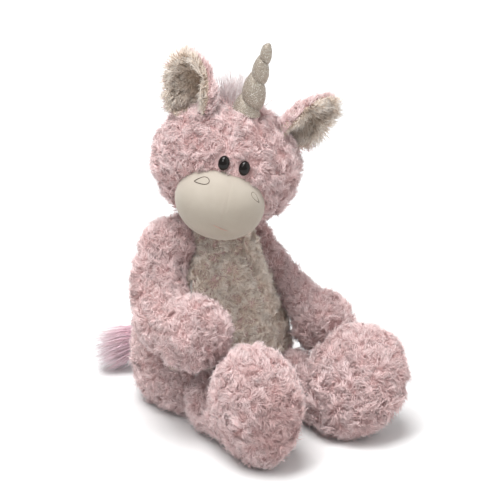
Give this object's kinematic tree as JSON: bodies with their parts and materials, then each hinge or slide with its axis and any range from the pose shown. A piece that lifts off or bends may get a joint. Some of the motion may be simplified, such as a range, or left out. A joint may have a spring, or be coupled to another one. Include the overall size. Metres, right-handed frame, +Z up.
{
  "type": "plush unicorn",
  "caption": "Seated soft plush unicorn in curly dusty-pink plush with a cream belly, smooth cream muzzle, spiral glitter horn, cupped ears, long-haired mane and tail, and jointed soft limbs.",
  "frame": {"origin": "middle of the flat seat that the toy sits on", "axes": "+Z up, the toy's front faces -Y, its own left side is +X"},
  "size_m": [0.2238, 0.3276, 0.3807],
  "materials": {
    "pink_plush": "curly dusty-pink plush with frosted tips",
    "cream_plush": "curly cream plush",
    "cream_velour": "smooth short velour",
    "long_pink_hair": "long straight synthetic hair",
    "glitter_cloth": "champagne lurex cloth",
    "silver_thread": "twisted metallic thread",
    "dark_thread": "embroidery thread",
    "rose_thread": "sewing thread",
    "black_eye": "polished black",
    "washer_plastic": "moulded white",
    "pouch_cloth": "plain woven pouch filled with pellets",
    "stuffing": "polyester fibre filling"
  },
  "bodies": {
    "torso": {"torso_skin": "pink_plush", "belly_panel": "cream_plush", "torso_stuffing": "stuffing", "bean_pouch": "pouch_cloth", "closing_stitches": "rose_thread"},
    "neck": {"neck_stuffing": "stuffing"},
    "head": {"head_skin": "pink_plush", "head_stuffing": "stuffing", "muzzle_skin": "cream_velour", "muzzle_stuffing": "stuffing", "nostril_stitch_right": "dark_thread", "nostril_stitch_left": "dark_thread", "mouth_stitch": "rose_thread", "eye_right": "black_eye", "eye_left": "black_eye", "eye_washer_right": "washer_plastic", "eye_washer_left": "washer_plastic", "horn_skin": "glitter_cloth", "horn_stuffing": "stuffing", "horn_thread": "silver_thread", "mane": "long_pink_hair"},
    "tail": {"tail_root": "pink_plush", "tail_hair": "long_pink_hair"},
    "ear_right": {"ear_outer_right": "pink_plush", "ear_lining_right": "cream_plush"},
    "arm_right": {"arm_skin_right": "pink_plush", "arm_stuffing_right": "stuffing"},
    "leg_right": {"leg_skin_right": "pink_plush", "foot_sole_right": "pink_plush", "leg_stuffing_right": "stuffing"},
    "ear_left": {"ear_outer_left": "pink_plush", "ear_lining_left": "cream_plush"},
    "arm_left": {"arm_skin_left": "pink_plush", "arm_stuffing_left": "stuffing"},
    "leg_left": {"leg_skin_left": "pink_plush", "foot_sole_left": "pink_plush", "leg_stuffing_left": "stuffing"}
  },
  "joints": [
    {"name": "neck_turn", "type": "hinge", "parent": "torso", "child": "neck", "pos_m": [0.002, -0.012, 0.197], "axis": [0, 0, 1], "range_deg": [-25, 25], "stiffness_Nm_per_rad": 1.5},
    {"name": "head_nod", "type": "hinge", "parent": "neck", "child": "head", "pos_m": [0.002, -0.012, 0.197], "axis": [0.8325, -0.4806, -0.2756], "range_deg": [-20, 3], "stiffness_Nm_per_rad": 1.5},
    {"name": "ear_right_flap", "type": "hinge", "parent": "head", "child": "ear_right", "pos_m": [-0.01533, -0.01026, 0.31401], "axis": [0.3514, -0.9138, 0.204], "range_deg": [-25, 25], "stiffness_Nm_per_rad": 0.05},
    {"name": "shoulder_right", "type": "hinge", "parent": "torso", "child": "arm_right", "pos_m": [-0.052, -0.004, 0.171], "axis": [0, 1, 0], "range_deg": [0, 60], "stiffness_Nm_per_rad": 0.3},
    {"name": "hip_right", "type": "hinge", "parent": "torso", "child": "leg_right", "pos_m": [-0.0406, -0.0789, 0.031], "axis": [-0.0523, -0.9986, 0], "range_deg": [-30, 30], "stiffness_Nm_per_rad": 0.5},
    {"name": "ear_left_flap", "type": "hinge", "parent": "head", "child": "ear_left", "pos_m": [0.05624, -0.05158, 0.29055], "axis": [0.6167, 0.2897, -0.732], "range_deg": [-25, 25], "stiffness_Nm_per_rad": 0.05},
    {"name": "shoulder_left", "type": "hinge", "parent": "torso", "child": "arm_left", "pos_m": [0.0475, -0.004, 0.162], "axis": [0, -1, 0], "range_deg": [0, 60], "stiffness_Nm_per_rad": 0.3},
    {"name": "hip_left", "type": "hinge", "parent": "torso", "child": "leg_left", "pos_m": [0.047, -0.0779, 0.0302], "axis": [-0.1822, 0.9833, 0], "range_deg": [-40, 12], "stiffness_Nm_per_rad": 0.5},
    {"name": "tail_swing", "type": "hinge", "parent": "torso", "child": "tail", "pos_m": [0, 0.0805, 0.044], "axis": [0, 0, -1], "range_deg": [0, 80], "stiffness_Nm_per_rad": 0.02}
  ]
}
